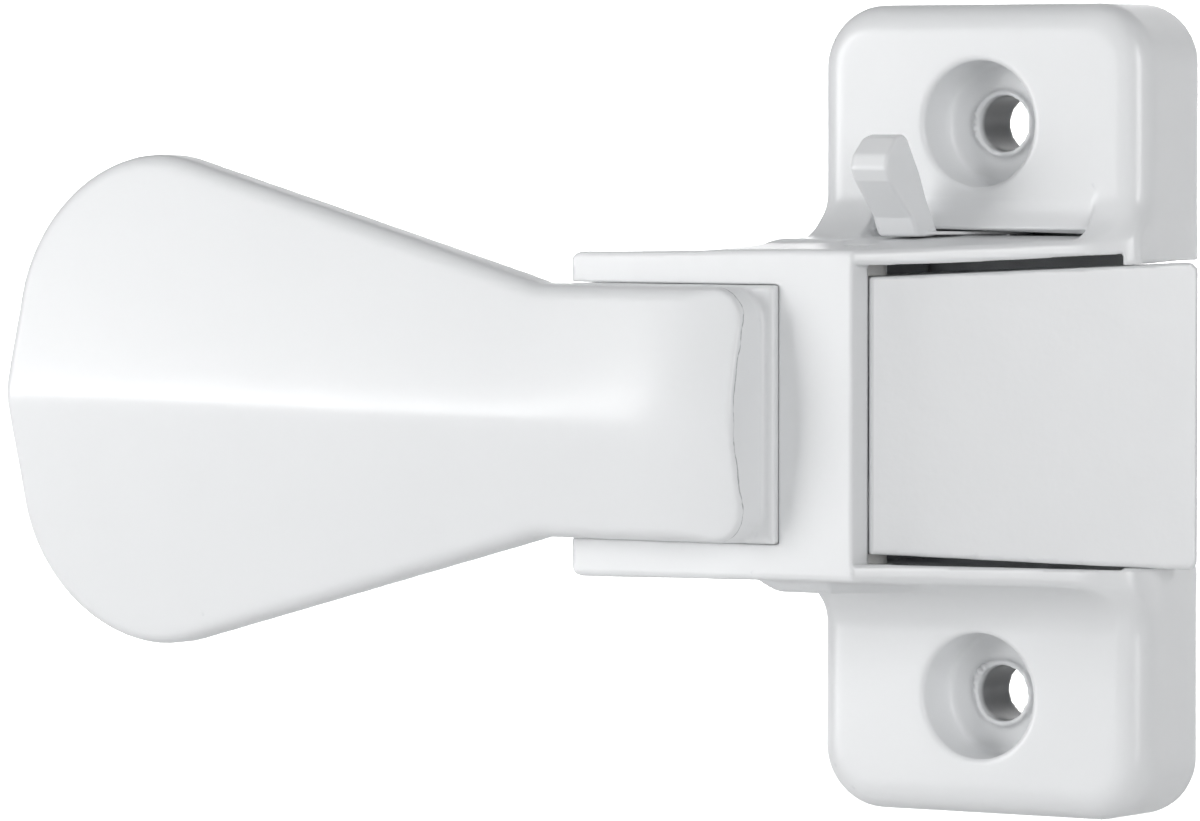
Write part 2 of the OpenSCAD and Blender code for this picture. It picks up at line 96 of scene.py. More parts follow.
def less(a, b, r=0.0):
    """What is inside a and not b, with the new edge rounded to radius r."""
    return both(a, -b, r)


def between(w, low, high):
    return np.abs(w - (low + high) / 2) - (high - low) / 2


def ease(w, start, end):
    t = np.clip((w - start) / (end - start), 0, 1)
    return t * t * (3 - 2 * t)


def mesh_of(name, shape, low, high, step):
    """A closed quad mesh of a distance field, with its points pulled onto the surface."""
    axes = [np.arange(a - 2 * step, b + 3 * step, step) for a, b in zip(low, high)]
    grid = [axes[0][:, None, None], axes[1][None, :, None], axes[2][None, None, :]]
    d = np.broadcast_to(shape(*grid), [len(a) for a in axes]).astype(np.float32)
    sign = d < 0
    n = np.array(d.shape)
    total = np.zeros(tuple(n - 1) + (3,), np.float32)
    count = np.zeros(tuple(n - 1), np.float32)
    for axis in range(3):
        lo = [slice(None)] * 3
        hi = [slice(None)] * 3
        lo[axis], hi[axis] = slice(0, -1), slice(1, None)
        a, b = d[tuple(lo)], d[tuple(hi)]
        cross = (a < 0) != (b < 0)
        t = np.where(cross, a / np.where(cross, a - b, 1), 0)
        o1, o2 = [k for k in range(3) if k != axis]
        for s1 in (0, 1):
            for s2 in (0, 1):
                pick = [slice(None)] * 3
                pick[o1] = slice(s1, n[o1] - 1 + s1)
                pick[o2] = slice(s2, n[o2] - 1 + s2)
                c = cross[tuple(pick)]
                total[..., axis] += np.where(c, t[tuple(pick)], 0)
                total[..., o1] += c * s1
                total[..., o2] += c * s2
                count += c
    used = count > 0
    index = np.full(used.shape, -1, np.int64)
    index[used] = np.arange(used.sum())
    cell = np.argwhere(used)
    points = (cell + total[used] / count[used][:, None]) * step
    points += np.array([a[0] for a in axes])
    quads = []
    for axis in range(3):
        lo = [slice(1, -1)] * 3
        hi = [slice(1, -1)] * 3
        lo[axis], hi[axis] = slice(0, -1), slice(1, None)
        a, b = sign[tuple(lo)], sign[tuple(hi)]
        o1, o2 = (axis + 1) % 3, (axis + 2) % 3
        for where, flip in ((a & ~b, False), (~a & b, True)):
            at = np.argwhere(where)
            at[:, o1] += 1
            at[:, o2] += 1
            corners = []
            for s1, s2 in ((0, 0), (1, 0), (1, 1), (0, 1)):
                c = at.copy()
                c[:, o1] += s1 - 1
                c[:, o2] += s2 - 1
                corners.append(index[c[:, 0], c[:, 1], c[:, 2]])
            q = np.stack(corners, -1)
            quads.append(q if flip else q[:, ::-1])
    quads = np.concatenate(quads)
    for _ in range(4):
        value, slope = sample(shape, points, step * 0.2)
        size = np.maximum((slope**2).sum(1), 0.2)
        points -= np.clip(value / size, -step * 0.6, step * 0.6)[:, None] * slope
    points[:, 1] *= -1
    mesh = bpy.data.meshes.new(name)
    mesh.vertices.add(len(points))
    mesh.vertices.foreach_set("co", (points * MM).astype(np.float32).ravel())
    mesh.loops.add(quads.size)
    mesh.loops.foreach_set("vertex_index", quads.astype(np.int32).ravel())
    mesh.polygons.add(len(quads))
    mesh.polygons.foreach_set("loop_start", np.arange(0, quads.size, 4, dtype=np.int32))
    mesh.polygons.foreach_set("use_smooth", np.ones(len(quads), bool))
    mesh.update(calc_edges=True)
    mesh.validate()
    obj = bpy.data.objects.new(name, mesh)
    bpy.context.scene.collection.objects.link(obj)
    return obj


def sample(shape, points, e):
    x, f, z = points.T.astype(float)
    value = shape(x, f, z)
    slope = np.stack([
        shape(x + e, f, z) - shape(x - e, f, z),
        shape(x, f + e, z) - shape(x, f - e, z),
        shape(x, f, z + e) - shape(x, f, z - e),
    ], -1) / (2 * e)
    return value, slope


# ---------------------------------------------------------------------------
# Sizes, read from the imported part
# ---------------------------------------------------------------------------


def span(node):
    """A node's box as ((x0, x1), (f0, f1), (z0, z1)) in millimetres."""
    a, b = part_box(node)
    return (a.x / MM, b.x / MM), (-b.y / MM, -a.y / MM), (a.z / MM, b.z / MM)


joints = {j["name"]: j for j in frame["joints"]}
mounts = {m["name"]: m for m in frame["record"]["mounts"]}


def pivot(joint):
    """A joint's place as (x, f) in millimetres."""
    x, y, _ = joints[joint]["pos_m"]
    return x / MM, -y / MM


lever_pin = pivot("lever_push")
tongue_pin = pivot("tongue_swing")
lock_pin = pivot("lock_turn")
hole_z = mounts["door_screws"]["dims"]["spacing_y_mm"] / 2
hole_r = mounts["door_screws"]["dims"]["hole_r_mm"]
body_x, body_f, body_z = span("body_casting")
lever_x, lever_f, lever_z = span("paddle_lever")
_, _, tongue_z = span("latch_tongue")

# Base: its front face, width, left edge and the screws that hold the back plate
FACE = 9.0
BASE_WIDTH = 29.3
BASE_LEFT = body_x[1] - BASE_WIDTH
SKIN_BACK = 7.0
PLATE_SCREW_X = (-10.3, 10.2)
PLATE_SCREW_Z = 27.0
COUNTERBORE_R = 4.9
COUNTERBORE_DEPTH = 4.2
# Housing: half its height at the front and at the base, the arms and the front wall
HOUSE_HALF = 12.65
MOUTH = 13.5
DRAFT = 0.85 / (body_f[1] - FACE)
ARM_IN = 9.95
WALL_BACK = 22.5
OPENING_RIGHT = -8.33
FRONT_RIGHT = -1.76
# The shallow fillet over the night lock's slot
LIP_LOW = 14.02
LIP_OUT = 0.75
FILLET_R = 4.0
# Lever: the slope of the paddle's two faces, its ridge and its neck
ROOF = math.tan(math.radians(16.5))
RIDGE = lever_f[1]
PADDLE_THICK = 3.2
NECK_END = -9.3
NECK_BOTTOM = 25.4
NECK_HALF = 9.85
NECK_CORNER_R = 3.0
# Tongue: its slope to the door, the length and distance of its face, and its hinged end
TONGUE_SLOPE = math.radians(40)
TONGUE_LENGTH = 25.6
TONGUE_FACE = 4.0
TONGUE_BACK = 2.2
TONGUE_ROOT = 10.55
BARREL_R = 2.35
TAPER_END = 25.3
# Radii of the holes for the lever's pin and for the two smaller pins
LEVER_PIN_HOLE = 1.3
SMALL_PIN_HOLE = 1.05


def cheek_outer(x, f, z):
    """Half the housing's height: the cheeks spread toward the door, the arms do not."""
    spread = ease(x, -16.2, -13.8)
    lean = np.where(z > 0, -0.3, 0.3) * ease(x, -5, -27)
    depth = body_f[1] - np.maximum(f, FACE)
    return HOUSE_HALF + lean + DRAFT * depth * spread - 0.035 * depth * (1 - spread)


def cheek_inner(f, z):
    """Half the height of the room between the cheeks."""
    deep = (WALL_BACK - np.clip(f, FACE, WALL_BACK)) / (WALL_BACK - FACE)
    return np.where(z > 0, 11.5 + 0.85 * deep**1.4, 11.3 + 0.65 * deep)


def tongue_half(t):
    """Half the tongue's height at a distance t from its pin."""
    return TONGUE_ROOT + (tongue_z[1] - TONGUE_ROOT) * np.minimum(t, TAPER_END) / TAPER_END


def tongue_sag(x):
    """How far play on the pin lets the tongue hang down."""
    return 0.16 * ease(x, -4, 14)


# ---------------------------------------------------------------------------
# The white castings
# ---------------------------------------------------------------------------


def body_outside(x, f, z):
    """The base and the forked housing, with a fillet where they meet."""
    a = np.abs(z)
    left, right = BASE_LEFT, body_x[1]
    front, half = body_f[1], body_z[1]
    outline = rectangle(x, z, left, right, -half, half, 5.0)
    base = both(both(outline, f - FACE, 2.4), -f, 0.25)
    plan = polygon(x, f, [
        (body_x[0], front), (body_x[0], 16.6), (-24, 15.4), (-18, 14.4), (-15.2, 13), (-14.2, 9.2),
        (-12.5, 9.2), (-12.5, 2.3), (12.2, 2.3), (12.2, 8.8), (right - 0.2, 8.8), (FRONT_RIGHT, front),
    ])
    house = both(plan, a - cheek_outer(x, f, z), 0.45)
    house = both(house, x - right + 0.2, 0.6)
    house = both(house, both(body_x[0] - x, a - cheek_outer(x, f, z), 0.9))
    # over the night lock's slot the fillet gives way to a small lip
    swept = ease(np.abs(x - 0.6), 9.9, 9.1) * ease(z, 0, 1)
    d = both(either(base, house, 3.8 - 3.6 * swept), x - right, 0.3)
    lip_top = LIP_LOW + math.sqrt(FILLET_R**2 - (FILLET_R - LIP_OUT) ** 2)
    lip = rectangle(z, f, LIP_LOW, lip_top, 7.5, FACE + LIP_OUT)
    lip = both(lip, -disc(z, f, lip_top, FACE + FILLET_R, FILLET_R))
    d = either(d, ears(x, f, z), 0.3)
    d = either(d, both(lip, between(x, -9.2, 10.3)), 0.1)
    hollow = both(rectangle(x, z, left + 2, right - 2, 2 - half, half - 2, 3.0), f - SKIN_BACK, 0.6)
    return less(d, less(hollow, both(house, f - FACE)), 0.2)


def ears(x, f, z):
    """The webs that run out along the arms from the base."""
    a = np.abs(z)
    rise = ease(x, -17.2, -13.4)
    top = np.where(z > 0, 12.45 + 0.85 * rise, 12.9 + 1.3 * rise)
    left = BASE_LEFT + 0.05
    plan = polygon(x, f, [
        (left, 8), (left, 12.4), (-17.2, 13.4), (-17.2, 16.2), (-9, 16.2), (-4.5, 11.5), (4, 8),
    ])
    d = both(both(a - top, 12.0 - a), plan, 0.25)
    return less(d, both(between(x, -8.8, 9.95), 1.0 - z), 0.2)


def cut_rooms(d, x, f, z):
    """Opens the room between the cheeks, the tongue's mouth and the gap between the arms."""
    a = np.abs(z)
    right = body_x[1]
    inside = a - cheek_inner(f, z)
    room = both(both(inside, OPENING_RIGHT - x), x - right + 1.1)
    d = less(d, both(room, f - WALL_BACK, 0.3), 0.1)
    front = both(both(inside, FRONT_RIGHT - x), x - right + 1.1)
    d = less(d, front, 0.15)
    reach = np.hypot(x - tongue_pin[0], f - tongue_pin[1])
    notch = np.abs(z + tongue_sag(x)) - tongue_half(reach) - 0.06
    d = less(d, both(notch, right - 4.0 - x), 0.05)
    return less(d, both(a - ARM_IN, x - OPENING_RIGHT), 0.05)


def cut_screw_holes(d, x, f, z):
    """Adds the screw posts behind the base, then cuts the counterbores and holes."""
    for side in (-1, 1):
        post = both(disc(x, z, 0, side * hole_z, 6.1), between(f, 0.0, 7.6), 0.25)
        d = either(d, post, 0.3)
        for cx in PLATE_SCREW_X:
            boss = both(disc(x, z, cx, side * PLATE_SCREW_Z, 1.9), between(f, 2.0, 7.6), 0.2)
            d = either(d, boss, 0.3)
    for side in (-1, 1):
        r = np.hypot(x, z - side * hole_z)
        turn = np.arctan2(z - side * hole_z, x)
        floor = FACE - COUNTERBORE_DEPTH
        d = less(d, both(r - COUNTERBORE_R, floor - f, 0.5), 0.3)
        # a ragged burr stands up round each hole
        if side < 0:
            burr = np.exp(-((turn - 2.5) / 0.45) ** 2)
        else:
            burr = 0.5 * np.exp(-((np.abs(turn) - 3.0) / 0.5) ** 2)
        ragged = 0.05 * np.sin(7 * turn + side) + 0.04 * np.sin(23 * turn)
        ragged = ragged + 0.2 * burr * (1 + np.sin(29 * turn))
        rim = np.abs(r - hole_r - 0.2 - 0.15 * burr) - 0.24 - 0.12 * burr
        d = either(d, both(rim, between(f, floor - 0.4, floor + 0.3 + ragged), 0.1), 0.1)
        d = less(d, both(r - hole_r, between(f, -1, 12)), 0.08)
        for cx in PLATE_SCREW_X:
            d = less(d, both(disc(x, z, cx, side * PLATE_SCREW_Z, 1.0), f - 6.6), 0.05)
    return d


def body_shape(x, f, z):
    d = body_outside(x, f, z)
    d = cut_rooms(d, x, f, z)
    d = cut_screw_holes(d, x, f, z)
    slot_top = LIP_LOW - 0.02 * np.clip(x + 3, 0, 13)
    slot = both(rectangle(x, f, -7.6, 9.4, 2.0, 30), both(z - slot_top, 13.56 - z))
    d = less(d, slot, 0.05)
    d = less(d, disc(x, f, *lever_pin, LEVER_PIN_HOLE), 0.05)
    d = less(d, disc(x, f, *tongue_pin, SMALL_PIN_HOLE), 0.05)
    return less(d, both(disc(x, f, *lock_pin, SMALL_PIN_HOLE), between(z, 5, 15)), 0.05)


def arc(cx, cy, r, start, end, n=20):
    """Points along an arc, with its angles in degrees."""
    angles = np.radians(np.linspace(start, end, n))
    return [(cx + r * math.cos(t), cy + r * math.sin(t)) for t in angles]


def paddle_outline():
    """The lever seen from the front: round at the left, with a straight neck."""
    r = 11.3
    corner = (NECK_END - NECK_CORNER_R, NECK_HALF - NECK_CORNER_R)
    top = [(NECK_END, corner[1])] + arc(*corner, NECK_CORNER_R, 8, 90, 8) + [(-28.4, NECK_HALF)]
    top += arc(lever_x[0] + r, lever_z[1] - r, r, 75, 180)
    return top + [(px, -pz) for px, pz in reversed(top)]


PADDLE = paddle_outline()


def lever_shape(x, f, z):
    a = np.abs(z)
    # the ridge wanders a little and is softer on the neck, whose end rolls toward the door
    lean = 0.55 - 0.75 * ease(x, -78, -28) + 0.2 * ease(x, -28, -12)
    fade = 1 - 0.08 * ease(x, -24, NECK_END)
    softness = 0.7 + 1.6 * ease(x, -30, -12)
    drop = (np.sqrt((z - lean) ** 2 + softness**2) - softness) * ROOF * fade
    roll = 1.0 * np.clip((x + 18.5) / (NECK_END + 18.5), 0, 1.2) ** 2.2
    top = RIDGE - drop - roll
    thin = ease(x, -26.2, -31.5)
    bottom = NECK_BOTTOM * (1 - thin) + (RIDGE - drop - PADDLE_THICK) * thin
    outline = polygon(x, z, PADDLE) + 0.06 * np.clip(f - 25.8, 0, 3) - 0.04
    edge = 1.0 - 0.7 * ease(x, -15, -10.5)
    d = both(outline, (f - top) * 0.96, edge)
    d = both(d, (bottom - f) * 0.96, 0.45)
    # the hub behind the neck, with its skirts, pocket and lugs
    hub = rectangle(x, z, -26.4, OPENING_RIGHT - 0.06, -9.9, 9.9, 0.15)
    hub = both(hub, between(f, 22.7, 25.7), 0.2)
    skirt = both(between(a, 9.0, 9.85), rectangle(x, f, -18.4, -9.3, 18.0, 24.2))
    d = either(d, either(hub, skirt, 0.1), 0.15)
    pocket = rectangle(x, z, -25.0, OPENING_RIGHT - 1.7, -8.35, 8.35, 0.8)
    d = less(d, both(pocket, between(f, 10, 24.2), 0.5), 0.2)
    lug_r = 2.7
    px, pf = lever_pin
    lug = either(disc(x, f, px, pf, lug_r), rectangle(x, f, px - lug_r, px + lug_r, pf, 25.0), 0.3)
    d = either(d, both(lug, between(a, 7.4, 9.3), 0.2), 0.3)
    # the crank that reaches in to the plunger, and the hole for its pad
    crank = polygon(x, f, [
        (-21.5, 21.8), (-15.2, 18.1), (-14, 16.8), (-12.8, 16.8), (-12, 15.6), (-0.6, 5.6),
        (0.2, 4.9), (0.2, 4.0), (-3.2, 4.0), (-14, 12.6), (-21, 16.8),
    ])
    crank = either(crank, rectangle(x, f, -24.2, -18.8, 19.5, 25.6), 0.6)
    d = either(d, both(crank, a - 3.0, 0.35), 0.5)
    d = less(d, both(disc(x, z, -1.0, 0, 0.82), f - 5.3), 0.05)
    return less(d, both(disc(x, f, px, pf, LEVER_PIN_HOLE), a - 12), 0.05)


def tongue_shape(x, f, z):
    z = z + tongue_sag(x)
    a = np.abs(z)
    # t runs down the tongue from its pin and n is square to its face
    c, s = math.cos(TONGUE_SLOPE), math.sin(TONGUE_SLOPE)
    t = (x - tongue_pin[0]) * c - (f - tongue_pin[1]) * s
    n = (x - tongue_pin[0]) * s + (f - tongue_pin[1]) * c
    root, tip = TONGUE_ROOT, tongue_z[1]
    side = polygon(t, n, [
        (0.16, TONGUE_FACE), (TONGUE_LENGTH, TONGUE_FACE), (TONGUE_LENGTH, TONGUE_BACK),
        (20, 1.2), (9, -2.2), (2, -BARREL_R), (0, -BARREL_R), (0.16, 0),
    ])
    corner = 0.5
    outline = polygon(t, z, [
        (-12, root - 0.5), (0, root), (TONGUE_LENGTH - corner, tip), (TONGUE_LENGTH, tip - corner),
        (TONGUE_LENGTH, corner - tip), (TONGUE_LENGTH - corner, -tip), (0, -root), (-12, 0.5 - root),
    ])
    barrel = disc(x, f, *tongue_pin, BARREL_R)
    outer = both(either(side, barrel, 0.4), outline, 0.16)
    behind = polygon(t, n, [(-6, -8), (-6, 6), (0.2, TONGUE_BACK), (28, TONGUE_BACK), (28, -8)])
    d = less(outer, both(behind, a - (root - 1.5), 0.5), 0.2)
    tail = polygon(x, f, [
        (-13.5, 17.3), (-13.5, 19.2), (-5.4, 20.2), (-4.2, 22.1), (-2.6, 21.5), (-2.3, 18.3), (-4.2, 17.5),
    ])
    d = either(d, both(tail, a - 5.0, 0.3), 0.3)
    # room for the spring's coil, flat seats for the washers and the pin's hole
    coil_room = both(disc(x, f, *tongue_pin, BARREL_R + 0.3), both(a - 4.2, n - 2.25))
    d = less(d, coil_room, 0.1)
    d = less(d, both(disc(x, f, *tongue_pin, 2.3), root - a), 0.05)
    return less(d, disc(x, f, *tongue_pin, SMALL_PIN_HOLE), 0.05)


def lock_shape(x, f, z):
    # the plate is drawn along its own length, the finger along the part's axes
    turn = math.radians(34)
    dx, df = x - lock_pin[0], f - lock_pin[1]
    out = -dx * math.sin(turn) + df * math.cos(turn)
    across = dx * math.cos(turn) + df * math.sin(turn)
    plate = either(disc(across, out, 0, 0, 2.2), rectangle(across, out, -1.5, 1.5, 0, 8.6, 0.6), 0.8)
    d = both(plate, between(z, 13.62, 13.88), 0.06)
    inner = 10.2
    side = polygon(z, f - inner, [
        (14.0, 0.5), (14.0, 2.65), (15.3, 3.35), (18.15, 6.75), (18.85, 7.2), (19.6, 7.0), (20.7, 5.8),
        (20.9, 5.0), (20.7, 4.65),
    ]) - 0.5
    mid = -4.85 + 0.18 * ease(z, 15, 19)
    half = 1.75 + 0.12 * ease(z, 17, 14.5) - 0.1 * ease(z, 18, 21)
    finger = both(side, mid - half - x, 0.55)
    finger = both(finger, x - mid - half, 0.3)
    d = either(d, finger, 0.2)
    return less(d, both(disc(x, f, *lock_pin, SMALL_PIN_HOLE), z - 17), 0.05)


def lever_pin_shape(x, f, z):
    return both(disc(x, f, *lever_pin, 1.25), np.abs(z) - 12.05, 0.15)


# ---------------------------------------------------------------------------
# Finishes
# ---------------------------------------------------------------------------


def new_material(name):
    m = bpy.data.materials.new(name)
    m.use_nodes = True
    return m, m.node_tree, m.node_tree.nodes["Principled BSDF"]


def noise(tree, scale, detail, rough=0.5, stretch=None):
    """Noise in object space, mostly between 0.2 and 0.8."""
    where = tree.nodes.new("ShaderNodeTexCoord")
    vector = where.outputs["Object"]
    if stretch:
        mapping = tree.nodes.new("ShaderNodeMapping")
        mapping.inputs["Scale"].default_value = stretch
        tree.links.new(vector, mapping.inputs["Vector"])
        vector = mapping.outputs["Vector"]
    n = tree.nodes.new("ShaderNodeTexNoise")
    n.inputs["Scale"].default_value = scale
    n.inputs["Detail"].default_value = detail
    n.inputs["Roughness"].default_value = rough
    tree.links.new(vector, n.inputs["Vector"])
    return n.outputs["Fac"]


def ranged(tree, value, low, high, frm=0.1, to=0.9):
    """value eased from frm..to onto low..high."""
    m = tree.nodes.new("ShaderNodeMapRange")
    m.interpolation_type = "SMOOTHSTEP"
    m.inputs["From Min"].default_value = frm
    m.inputs["From Max"].default_value = to
    m.inputs["To Min"].default_value = low
    m.inputs["To Max"].default_value = high
    tree.links.new(value, m.inputs["Value"])
    return m.outputs["Result"]


def blend_colour(tree, factor, a, b):
    """a where factor is 0 and b where it is 1; each is a colour or a socket."""
    m = tree.nodes.new("ShaderNodeMix")
    m.data_type = "RGBA"
    tree.links.new(factor, m.inputs["Factor"])
    for socket, value in (("A", a), ("B", b)):
        target = [s for s in m.inputs if s.name == socket and s.type == "RGBA"][0]
        if isinstance(value, tuple):
            target.default_value = (*value, 1)
        else:
            tree.links.new(value, target)
    return [s for s in m.outputs if s.type == "RGBA"][0]


def bump(tree, height, distance, strength=1.0, base=None):
    """A normal bumped by height, over the normal base if there is one."""
    b = tree.nodes.new("ShaderNodeBump")
    b.inputs["Strength"].default_value = strength
    b.inputs["Distance"].default_value = distance
    tree.links.new(height, b.inputs["Height"])
    if base:
        tree.links.new(base, b.inputs["Normal"])
    return b.outputs["Normal"]


def calc(tree, kind, a, b=None):
    """A maths node; a and b are numbers or sockets."""
    m = tree.nodes.new("ShaderNodeMath")
    m.operation = kind
    for socket, value in zip(m.inputs, (a, b)):
        if isinstance(value, (int, float)):
            socket.default_value = value
        elif value is not None:
            tree.links.new(value, socket)
    return m.outputs[0]


def product(tree, *factors):
    result = factors[0]
    for factor in factors[1:]:
        result = calc(tree, "MULTIPLY", result, factor)
    return result


def length(tree, u, v):
    squares = calc(tree, "ADD", calc(tree, "MULTIPLY", u, u), calc(tree, "MULTIPLY", v, v))
    return calc(tree, "SQRT", squares)


def place(tree):
    """The object-space x, distance from the door, and z, in metres."""
    where = tree.nodes.new("ShaderNodeTexCoord")
    split = tree.nodes.new("ShaderNodeSeparateXYZ")
    tree.links.new(where.outputs["Object"], split.inputs["Vector"])
    depth = calc(tree, "MULTIPLY", split.outputs["Y"], -1.0)
    return split.outputs["X"], depth, split.outputs["Z"]


def painted_shade_inside(tree):
    """1 where shade is painted: down the screw holes and inside the housing, which are coloured near-black to
    stand for their shadow.
    """
    x, depth, z = place(tree)
    up = calc(tree, "ABSOLUTE", z)

    def below(value, start, end):
        """1 under start, 0 over end, in millimetres."""
        return ranged(tree, value, 1, 0, start * MM, end * MM)

    def above(value, start, end):
        return ranged(tree, value, 0, 1, start * MM, end * MM)

    radius = length(tree, x, calc(tree, "SUBTRACT", up, hole_z * MM))
    bore = product(tree, below(radius, hole_r + 0.02, hole_r + 0.08), below(depth, 4.1, 4.9))
    # the room between the cheeks narrows from 12.4 mm at the base to 11.5 at the front wall
    narrowing = calc(tree, "MULTIPLY", calc(tree, "MAXIMUM", depth, FACE * MM), 0.0667)
    inside = below(calc(tree, "ADD", up, narrowing), 13.1, 13.3)
    behind_cut = below(calc(tree, "ADD", x, depth), 21.2, 22.1)
    end_wall = product(tree, above(x, -9.0, -8.6), below(depth, 11.0, 11.4))
    within = calc(tree, "MAXIMUM", above(x, -8.0, -7.6), end_wall)
    room = product(tree, inside, behind_cut, within, below(x, 13.1, 13.4), below(depth, 22.1, 22.5))
    return calc(tree, "MAXIMUM", bore, room)


def parting_line(tree):
    """1 along the worn line round the end of the lever's neck."""
    x, depth, z = place(tree)
    # past the rim: outside the neck's outline shrunk by a little under its corner radius
    over_x = calc(tree, "MAXIMUM", calc(tree, "ADD", x, (NECK_CORNER_R - NECK_END) * MM), 0.0)
    up = calc(tree, "ABSOLUTE", z)
    over_z = calc(tree, "MAXIMUM", calc(tree, "SUBTRACT", up, (NECK_HALF - NECK_CORNER_R) * MM), 0.0)
    rim = ranged(tree, length(tree, over_x, over_z), 0, 1, 2.4 * MM, 2.6 * MM)
    # how far a point lies above a roof parallel to the neck's top, roughened by noise
    roof = product(tree, length(tree, z, 2.3 * MM), ROOF * 0.92)
    level = calc(tree, "ADD", roof, depth)
    rough = product(tree, calc(tree, "SUBTRACT", noise(tree, 420, 3), 0.5), 0.6 * MM)
    level = calc(tree, "ADD", level, rough)
    away = calc(tree, "ABSOLUTE", calc(tree, "SUBTRACT", level, 30.33 * MM))
    line = ranged(tree, away, 1, 0, 0.02 * MM, 0.09 * MM)
    patchy = ranged(tree, noise(tree, 1500, 2), 0.35, 1, 0.35, 0.6)
    near_end = ranged(tree, x, 0, 1, -16 * MM, -12.5 * MM)
    return product(tree, line, rim, patchy, near_end)


def white_paint(name, shade_inside=False, worn_line=False):
    m, tree, bsdf = new_material(name)
    cloud = ranged(tree, noise(tree, 45, 3), 0, 1)
    colour = blend_colour(tree, cloud, (0.802, 0.811, 0.82), (0.82, 0.828, 0.836))
    edge = tree.nodes.new("ShaderNodeNewGeometry")
    worn = ranged(tree, edge.outputs["Pointiness"], 0, 0.5, 0.57, 0.66)
    worn = product(tree, worn, ranged(tree, noise(tree, 900, 4), 0, 1, 0.45, 0.7))
    colour = blend_colour(tree, worn, colour, (0.60, 0.615, 0.64))
    # painted shade: the screw bores and the room inside the housing turn near-black in place of their shadow
    if shade_inside:
        colour = blend_colour(tree, painted_shade_inside(tree), colour, (0.16, 0.165, 0.175))
    if worn_line:
        colour = blend_colour(tree, parting_line(tree), colour, (0.40, 0.41, 0.42))
    tree.links.new(colour, bsdf.inputs["Base Color"])
    tree.links.new(ranged(tree, noise(tree, 160, 4), 0.27, 0.32), bsdf.inputs["Roughness"])
    bsdf.inputs["IOR"].default_value = 1.5
    bsdf.inputs["Coat Weight"].default_value = 0.15
    bsdf.inputs["Coat Roughness"].default_value = 0.25
    peel = bump(tree, noise(tree, 1400, 2), 0.02 * MM, 0.5)
    waves = bump(tree, noise(tree, 240, 3), 0.06 * MM, 0.45, peel)
    tree.links.new(waves, bsdf.inputs["Normal"])
    return m


def steel(name, tint, rough, scale, stretch=None):
    m, tree, bsdf = new_material(name)
    grain = noise(tree, scale, 5, 0.6, stretch)
    colour = blend_colour(tree, ranged(tree, grain, 0, 1), tuple(c * 0.86 for c in tint), tint)
    tree.links.new(colour, bsdf.inputs["Base Color"])
    tree.links.new(ranged(tree, grain, rough - 0.07, rough + 0.1), bsdf.inputs["Roughness"])
    bsdf.inputs["Metallic"].default_value = 1.0
    tree.links.new(bump(tree, grain, 0.03 * MM, 0.5), bsdf.inputs["Normal"])
    return m


def nylon():
    m, tree, bsdf = new_material("nylon")
    cloud = ranged(tree, noise(tree, 260, 3), 0, 1)
    colour = blend_colour(tree, cloud, (0.74, 0.74, 0.73), (0.80, 0.80, 0.785))
    tree.links.new(colour, bsdf.inputs["Base Color"])
    tree.links.new(ranged(tree, noise(tree, 700, 3), 0.38, 0.52), bsdf.inputs["Roughness"])
    bsdf.inputs["Subsurface Weight"].default_value = 0.15
    bsdf.inputs["Subsurface Radius"].default_value = (0.001, 0.0009, 0.0007)
    tree.links.new(bump(tree, noise(tree, 1200, 2), 0.03 * MM, 0.4), bsdf.inputs["Normal"])
    return m


finishes = {
    "white_paint": white_paint("white_paint"),
    # the body's white paint, with painted shade down its screw holes and inside its housing
    "body_paint_with_painted_shade": white_paint("body_paint_with_painted_shade", shade_inside=True),
    "lever_paint": white_paint("lever_paint", worn_line=True),
    "plated_steel": steel("plated_steel", (0.66, 0.67, 0.69), 0.26, 900, (1, 1, 0.15)),
    "galvanised_sheet": steel("galvanised_sheet", (0.52, 0.53, 0.54), 0.42, 220),
    "spring_steel": steel("spring_steel", (0.38, 0.39, 0.41), 0.30, 1500, (1, 1, 0.2)),
    "nylon": nylon(),
}


def dress(obj, slot_name):
    obj.data.materials.clear()
    obj.data.materials.append(finishes[slot_name])


for part in frame["record"]["subparts"]:
    node = frame["nodes"][part["node"]]
    dress(node, part["material_slot"])
    smooth = node.modifiers.new("soft_edges", "BEVEL")
    smooth.width = 0.12 * MM
    smooth.segments = 2
    smooth.limit_method = "ANGLE"
    smooth.angle_limit = math.radians(40)
    smooth.harden_normals = True

# grid spacing of the distance fields, in millimetres
STEP = 0.25


def casting(node, shape, body, step=STEP, finish="white_paint"):
    """Meshes a shape in place of a CAD node, on that node's body."""
    margin = 0.5
    sides = span(node)
    low = tuple(side[0] - margin for side in sides)
    high = tuple(side[1] + margin for side in sides)
    obj = mesh_of(node + "_cast", shape, low, high, step)
    dress(obj, finish)
    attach(obj, body)
    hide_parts(node)


# the body gets the finish with painted shade down its holes and inside its housing
casting("body_casting", body_shape, "mounting", finish="body_paint_with_painted_shade")
casting("paddle_lever", lever_shape, "lever", STEP * 1.2, "lever_paint")
casting("latch_tongue", tongue_shape, "tongue")
casting("night_lock", lock_shape, "lock", STEP * 0.6)
casting("lever_pivot_pin", lever_pin_shape, "mounting", finish="plated_steel")

# ---------------------------------------------------------------------------
# Studio
# ---------------------------------------------------------------------------


